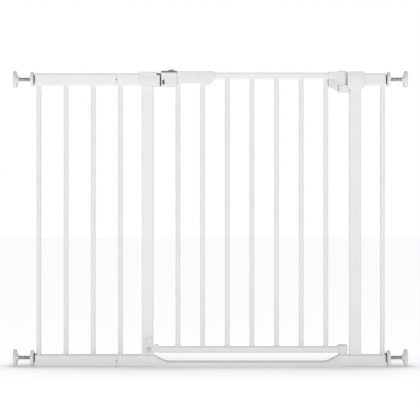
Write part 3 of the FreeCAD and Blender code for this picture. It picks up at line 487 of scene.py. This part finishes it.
@dataclass
class WallSpindle:
    """A threaded spindle with its handwheel and swivelling wall pad."""
    corner: str
    facing: float
    pitch: float = 1.5
    crest: float = 5.0
    root: float = 4.1
    thread_sides: int = 24
    end_gap: float = 0.2
    run_gap: float = 0.05
    wheel_lobes: int = 12
    wheel_rim: float = 19.5
    lobe_root: float = 16.0
    lobe_depth: float = 0.055

    def thread(self) -> None:
        """Make the spindle's rolled thread, a true helix."""
        node = "spindle_" + self.corner
        low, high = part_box(node)
        z = (low.z + high.z) / 2
        start = low.x / MM + self.end_gap
        turns = int((high.x / MM - start - self.pitch - self.end_gap) / self.pitch)
        bm = bmesh.new()
        profile = [(0.0, self.root), (0.15, self.root), (0.7, self.crest), (0.95, self.crest),
                   (self.pitch, self.root)]
        verts = [bm.verts.new(((start + a) * MM, 0.0, z + r * MM)) for a, r in profile]
        edges = [bm.edges.new(pair) for pair in zip(verts, verts[1:])]
        steps = turns * self.thread_sides
        bmesh.ops.spin(bm, geom=verts + edges, cent=(0, 0, z), axis=Axis.X.value,
                       dvec=(self.pitch / self.thread_sides * MM, 0, 0),
                       angle=math.tau * turns, steps=steps, use_duplicate=False)
        bmesh.ops.remove_doubles(bm, verts=bm.verts, dist=5e-6)
        rims = [edge for edge in bm.edges if edge.is_boundary]
        bmesh.ops.holes_fill(bm, edges=rims)
        publish(bm, "thread_" + self.corner, ZINC_PLATE, node, [node], smooth_to=60.0)

    def handwheel(self) -> None:
        """Make the grip wheel, with hollows for the fingers and a dished face."""
        node = "handwheel_" + self.corner
        low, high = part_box(node)
        inner, z = (low.x if self.facing > 0 else high.x), (low.z + high.z) / 2
        thick = (high.x - low.x) / MM
        bore, rim = self.crest + self.run_gap, self.wheel_rim
        profile = [(0.0, bore), (0.0, 13.2), (0.4, 14.0), (1.0, 14.3), (1.2, 17.8),
                   (2.2, rim - 0.2), (3.2, rim), (thick - 2.0, rim), (thick - 1.0, rim - 0.3),
                   (thick - 0.2, rim - 1.2), (thick, rim - 2.2), (thick - 0.6, 15.0),
                   (thick - 1.6, 13.5), (thick - 1.6, 9.5), (thick - 0.6, 8.8), (thick, 8.2),
                   (thick, bore)]
        bm = spun(profile, Axis.X, (inner, 0.0, z), self.facing, steps=120, looped=True)
        for vert in bm.verts:
            y, up = vert.co.y, vert.co.z - z
            reach = math.hypot(y, up)
            if reach > self.lobe_root * MM:
                wave = math.cos(self.wheel_lobes * math.atan2(up, y))
                share = (reach / MM - self.lobe_root) / (rim - self.lobe_root)
                pull = 1 - self.lobe_depth * share * max(0.0, wave) ** 1.5
                vert.co.y, vert.co.z = y * pull, z + up * pull
        publish(bm, "grip_wheel_" + self.corner, MOULDED_ABS, "wheel_" + self.corner, [node])

    def wall_pad(self) -> None:
        """Make the pad's cup with its turned rim, and the ribbed rubber face."""
        node = "wall_pad_" + self.corner
        low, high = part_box(node)
        z = (low.z + high.z) / 2
        back = high.x if self.facing > 0 else low.x
        deep = (high.x - low.x) / MM
        bore = self.crest + self.run_gap
        profile = [(-2.5, 0.0), (-2.5, bore), (-deep, bore), (-deep, 7.2), (-deep + 0.6, 8.0),
                   (-6.0, 8.6), (-4.6, 9.3), (-3.9, 11.0), (-3.4, 13.5), (-3.0, 18.2),
                   (-3.4, 19.0), (-4.4, 19.4), (-4.5, 20.6), (-4.2, 21.2), (-3.4, 21.5),
                   (0.0, 21.5), (0.0, 0.0)]
        bm = spun(profile, Axis.X, (back, 0.0, z), self.facing, steps=72)
        publish(bm, "pad_cup_" + self.corner, MOULDED_ABS, "pad_" + self.corner, [node])
        rubber = "pad_rubber_" + self.corner
        low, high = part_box(rubber)
        back = low.x if self.facing > 0 else high.x
        rings = [(2.5, r + d) if on else (1.9, r + d) for r in range(4, 20, 3)
                 for d, on in ((0.0, True), (0.3, False), (1.2, False), (1.5, True))]
        face = [(0.0, 0.0), (0.0, 21.8), (0.2, 22.0), (1.9, 22.0), (2.4, 21.6), (2.5, 21.0)]
        bm = spun(face + rings[::-1] + [(2.5, 0.0)], Axis.X, (back, 0.0, z), self.facing,
                  steps=72)
        publish(bm, "pad_face_" + self.corner, PALE_RUBBER, "pad_" + self.corner, [rubber])

    def build(self) -> None:
        """Make every piece of one spindle."""
        self.thread()
        self.handwheel()
        self.wall_pad()


@dataclass
class Handle:
    """The lifting handle over the door's top rail, scooped below for the fingers."""
    edge: float = 3.0
    underside: Profile = ((-86.5, 739.4), (-82.5, 739.4), (-79.0, 741.0), (-75.0, 743.0),
                          (-66.0, 743.5), (-44.0, 743.5), (-33.0, 743.0), (-25.0, 741.3),
                          (-18.5, 739.5), (-13.0, 739.2), (-4.0, 739.4), (0.5, 741.2),
                          (4.3, 744.6), (7.2, 749.0), (9.6, 754.2), (11.6, 759.8),
                          (12.9, 765.2), (12.6, 769.0), (10.6, 771.4), (7.8, 772.0))

    def build(self) -> None:
        """Make the handle."""
        low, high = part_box("handle_cover")
        half, top = high.y / MM, high.z / MM
        bm = prism([*self.underside, (self.underside[0][0], top)], -half, half)
        ease(bm, self.edge, 5, lambda e: all(abs(abs(v.co.y) / MM - half) < 1e-3
                                             for v in e.verts))
        publish(bm, "lift_handle", MOULDED_ABS, "door", ["handle_cover"])


@dataclass
class Slider:
    """The grey thumb slider on top of the latch, with a ribbed hump."""
    hump_from: float = -111.5
    hump_to: float = -92.5
    foot: float = 769.5
    plate: float = 4.4
    half: float = 7.5
    hump_facets: int = 16
    edge: float = 0.9
    stem: tuple[float, float, float] = (-116.1, -108.1, 747.0)
    stem_half: float = 3.0
    rib_half: tuple[float, float] = (0.45, 5.0)
    ribs: Profile = ((-106.5, 0.3), (-104.2, 0.05), (-102.0, 0.0), (-99.8, 0.05), (-97.5, 0.3))

    def build(self) -> None:
        """Make the button with its stem."""
        low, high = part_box("lock_slider")
        x0, x1, top = low.x / MM, high.x / MM, high.z / MM
        crown = self.foot + self.plate
        hump = []
        for i in range(self.hump_facets + 1):
            share = i / self.hump_facets
            x = self.hump_to + (self.hump_from - self.hump_to) * share
            hump.append((x, crown + (top - crown) * math.sin(math.pi * share) ** 0.8))
        bm = prism([(x0, self.foot), (x1, self.foot), (x1, crown), *hump, (x0, crown)],
                   -self.half, self.half)
        ease(bm, self.edge, 3, lambda e: all(abs(abs(v.co.y) / MM - self.half) < 1e-3
                                             for v in e.verts)
             and min(v.co.z / MM for v in e.verts) > self.foot + 0.5)
        wide, deep = self.rib_half
        ribs = [block(x - wide, x + wide, -deep, deep, crown + 0.5, top - drop)
                for x, drop in self.ribs]
        left, right, low_end = self.stem
        stem = block(left, right, -self.stem_half, self.stem_half, low_end, self.foot + 0.5)
        publish(gathered([bm, stem, *ribs]), "thumb_slider", GREY_ABS, "lock",
                ["lock_slider"])


@dataclass
class StopLever:
    """The figure-of-eight stop lever, with a raised ring round each of its ends."""
    radius: float = 11.6
    pitch: float = 20.3
    thick: float = 5.0
    ring: float = 8.6
    screw_bore: float = 2.55
    waist: float = 9.5

    def build(self) -> None:
        """Make the lever, solid between its rings and open round its screw."""
        low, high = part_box("stop_lever")
        x = (low.x + high.x) / 2
        y, z = high.y, low.z + self.radius * MM
        body: list[bmesh.types.BMesh] = []
        face = -self.thick
        for i, bore in ((0, self.screw_bore), (1, 0.0)):
            centre = (x, y, z + i * self.pitch * MM)
            profile = [(0.0, bore), (0.0, self.radius), (face + 1.2, self.radius),
                       (face + 0.7, self.radius - 0.3), (face + 0.5, self.radius - 1.0),
                       (face + 0.6, self.ring + 1.2), (face, self.ring + 0.6),
                       (face, self.ring - 0.8), (face + 1.8, self.ring - 1.2),
                       (face + 2.0, 6.2), (face + 0.8, max(bore, 5.2)), (face + 0.8, bore)]
            body.append(spun(profile, Axis.Y, centre, steps=64, looped=bool(bore)))
        waist = block(x / MM - self.waist, x / MM + self.waist, y / MM - self.thick + 0.8, y / MM,
                      z / MM + 4.0, z / MM + self.pitch - 4.0)
        ease(waist, 0.4, 2)
        publish(gathered([*body, waist]), "stop_lever_moulding", MOULDED_ABS, "stop",
                ["stop_lever"])


@dataclass
class Trims:
    """Raised faces on the lock and hinge covers, and ribs round the door's lower foot."""
    proud: float = 0.5
    sunk: float = 0.8
    corner: float = 5.5
    rim: float = 0.4
    foot_radius: float = 13.5
    rib_pitch: float = 3.6
    rib_wide: float = 1.4
    rib_root: float = 1.2
    ribs_each_way: int = 3
    panels: tuple[tuple[float, float, float, float, float], ...] = (
        (-182.6, -141.5, 737.5, 757.5, 15.0), (362.5, 400.0, 730.5, 766.5, 16.0))

    def panel(self, x0: float, x1: float, z0: float, z1: float, half: float,
              ) -> bmesh.types.BMesh:
        """A raised face on both sides of a cover, with round corners.

        Args:
            x0: Left edge, in millimetres, as are the other sizes.
            x1: Right edge.
            z0: Lower edge.
            z1: Upper edge.
            half: The cover's front and back faces, from the middle.

        Returns:
            Both faces in one mesh.
        """
        sides = []
        for y0, y1 in ((-half - self.proud, -half + self.sunk),
                       (half - self.sunk, half + self.proud)):
            shape = block(x0, x1, y0, y1, z0, z1)
            ease(shape, self.corner, 6, lambda e: abs(e.verts[0].co.y - e.verts[1].co.y) > 1e-6)
            ease(shape, self.rim, 2)
            sides.append(shape)
        return gathered(sides)

    def build(self) -> None:
        """Make the raised faces and the foot's ribs."""
        covers = [self.panel(*row) for row in self.panels]
        publish(gathered(covers), "cover_faces", MOULDED_ABS, "frame")
        low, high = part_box("door_hinge_foot")
        x = high.x / MM - self.foot_radius
        ribs = []
        for i in range(-self.ribs_each_way, self.ribs_each_way + 1):
            across = i * self.rib_pitch
            out = math.sqrt(self.foot_radius ** 2 - across ** 2)
            for side in (-1, 1):
                y0, y1 = sorted((side * (out - self.rib_root), side * (out + self.proud)))
                rib = block(x + across - self.rib_wide / 2, x + across + self.rib_wide / 2,
                            y0, y1, low.z / MM + 1.5, high.z / MM - 3.0)
                ease(rib, 0.3, 2)
                ribs.append(rib)
        publish(gathered(ribs), "foot_ribs", MOULDED_ABS, "door")


@dataclass
class GapShadePieces:
    """Dark pieces in the gap where the latch block meets the lock housing, painted shade standing
    for the shadow in that gap.
    """
    upright: tuple[float, float, float, float] = (-132.4, -129.1, 735.0, 763.2)
    shelf: tuple[float, float, float, float] = (-140.8, -131.5, 761.6, 764.8)
    inner: float = 6.6
    outer: float = 13.4

    def build(self) -> None:
        """Make the front and back dark pieces of painted shade."""
        shapes = []
        # Painted shade: dark blocks set in the gap, standing for the shadow that fills it.
        for y0, y1 in ((-self.outer, -self.inner), (self.inner, self.outer)):
            for x0, x1, z0, z1 in (self.upright, self.shelf):
                shape = block(x0, x1, y0, y1, z0, z1)
                ease(shape, 0.35, 2)
                shapes.append(shape)
        publish(gathered(shapes), "latch_gap_painted_shade", DARK_SHADE_PLASTIC, "frame")


@dataclass
class GussetRibs:
    """Upright stiffening ribs on both faces of the hinge arm's gusset."""
    middles: tuple[float, ...] = (311.2, 318.6, 326.0)
    wide: float = 3.0
    root: float = 6.5
    crest: float = 9.4
    top: float = 752.5
    slope: float = 12.8 / 24.15
    corner: tuple[float, float] = (309.65, 733.8)

    def build(self) -> None:
        """Make the ribs, each cut to the gusset's slanting underside."""
        ribs = []
        for x in self.middles:
            x0, x1 = x - self.wide / 2, x + self.wide / 2
            feet = [self.corner[1] - (end - self.corner[0]) * self.slope for end in (x0, x1)]
            for y0, y1 in ((-self.crest, -self.root), (self.root, self.crest)):
                rib = prism([(x0, feet[0]), (x1, feet[1]), (x1, self.top), (x0, self.top)],
                            y0, y1)
                ease(rib, 0.4, 2)
                ribs.append(rib)
        publish(gathered(ribs), "gusset_ribs", MOULDED_ABS, "door")


@dataclass
class Studio:
    """Pale floor, soft light from the front and an even white surround."""
    floor_half: float = 14.0
    camera_place: tuple[float, float, float] = (-0.001, -3.06, 0.4095)
    lens: float = 100.0
    sensor: float = 36.0

    def floor(self) -> None:
        """Lay the floor, a matt white sheet that glows evenly, with its glow dimmed near the gate
        as painted shade: a soft contact shadow.
        """
        bm = bmesh.new()
        bmesh.ops.create_grid(bm, x_segments=1, y_segments=1, size=self.floor_half)
        bmesh.ops.translate(bm, verts=bm.verts, vec=(0, 0, -0.2 * MM))
        mesh = bpy.data.meshes.new("studio_floor")
        bm.to_mesh(mesh)
        bm.free()
        paper = bpy.data.materials.new("matt_white_sheet")
        paper.use_nodes = True
        shader = paper.node_tree.nodes["Principled BSDF"]
        shader.inputs["Base Color"].default_value = linear("#F4F4F4")
        shader.inputs["Roughness"].default_value = 0.95
        shader.inputs["Specular IOR Level"].default_value = 0.1
        shader.inputs["Emission Color"].default_value = linear("#FFFFFF")
        # Painted shadow: the floor's glow drops where ambient occlusion finds the gate close by.
        shadow_occlusion = add_node(paper.node_tree, "ShaderNodeAmbientOcclusion", {"samples": 16},
                          {"Distance": 0.35})
        painted_shadow_glow = add_node(paper.node_tree, "ShaderNodeMapRange",
                        values={"From Min": 0.68, "From Max": 0.995, "To Min": 0.12,
                                "To Max": 0.56}, links={"Value": shadow_occlusion.outputs["AO"]})
        paper.node_tree.links.new(painted_shadow_glow.outputs["Result"], shader.inputs["Emission Strength"])
        mesh.materials.append(paper)
        sheet = bpy.data.objects.new("studio_floor", mesh)
        bpy.context.scene.collection.objects.link(sheet)

    def surround(self) -> None:
        """Light the room white at eye level and dimmer overhead."""
        world = bpy.data.worlds.new("soft_room")
        bpy.context.scene.world = world
        world.use_nodes = True
        tree = world.node_tree
        tree.nodes.clear()
        place = add_node(tree, "ShaderNodeTexCoord")
        split = add_node(tree, "ShaderNodeSeparateXYZ",
                         links={"Vector": place.outputs["Generated"]})
        height = add_node(tree, "ShaderNodeMapRange",
                          values={"From Min": 0.0, "From Max": 0.8, "To Min": 0.66,
                                  "To Max": 0.38},
                          links={"Value": split.outputs["Z"]})
        seen = add_node(tree, "ShaderNodeLightPath")
        level = add_node(tree, "ShaderNodeMath", {"operation": "MAXIMUM"},
                         links={0: height.outputs["Result"],
                                1: seen.outputs["Is Camera Ray"]})
        sky = add_node(tree, "ShaderNodeBackground", values={"Color": linear("#FFFFFF")},
                       links={"Strength": level.outputs["Value"]})
        add_node(tree, "ShaderNodeOutputWorld", links={"Surface": sky.outputs["Background"]})

    def lamp(self, name: str, place: Sequence[float], aim: Sequence[float], size: float,
             watts: float) -> None:
        """Hang one square soft lamp.

        Args:
            name: Name of the lamp.
            place: Where it hangs.
            aim: What it points at.
            size: Side of its square, in metres.
            watts: Its power.
        """
        light = bpy.data.lights.new(name, "AREA")
        light.size, light.energy = size, watts
        lamp = bpy.data.objects.new(name, light)
        lamp.location = place
        lamp.rotation_euler = (Vector(aim) - Vector(place)).to_track_quat("-Z", "Y").to_euler()
        bpy.context.scene.collection.objects.link(lamp)

    def camera(self) -> None:
        """Stand a level camera square in front of the gate."""
        data = bpy.data.cameras.new("front_camera")
        data.lens, data.sensor_width = self.lens, self.sensor
        camera = bpy.data.objects.new("front_camera", data)
        camera.location = self.camera_place
        camera.rotation_euler = (math.radians(90), 0, 0)
        bpy.context.scene.collection.objects.link(camera)
        bpy.context.scene.camera = camera

    def build(self) -> None:
        """Set up the whole studio, with colours shown as they are."""
        bpy.context.scene.view_settings.view_transform = "Standard"
        self.floor()
        self.surround()
        self.lamp("front_key", (-0.5, -3.3, 0.62), (0, 0, 0.15), size=2.2, watts=22.0)
        self.lamp("right_fill", (2.2, -1.6, 1.0), (0, 0, 0.4), size=1.2, watts=3.0)
        self.camera()


def main() -> None:
    """Load the frame and build every sub-assembly and the studio."""
    logging.basicConfig(level=logging.INFO, format="%(name)s: %(message)s")
    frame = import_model()
    CarriedParts(frame["record"]).dress(frame["nodes"])
    Welds().build()
    LowStep().build()
    for level in ("top", "bottom"):
        for side, facing in (("left", -1.0), ("right", 1.0)):
            WallSpindle(f"{level}_{side}", facing).build()
    Handle().build()
    Slider().build()
    StopLever().build()
    Trims().build()
    GapShadePieces().build()
    GussetRibs().build()
    Studio().build()


if __name__ == "__main__":
    main()
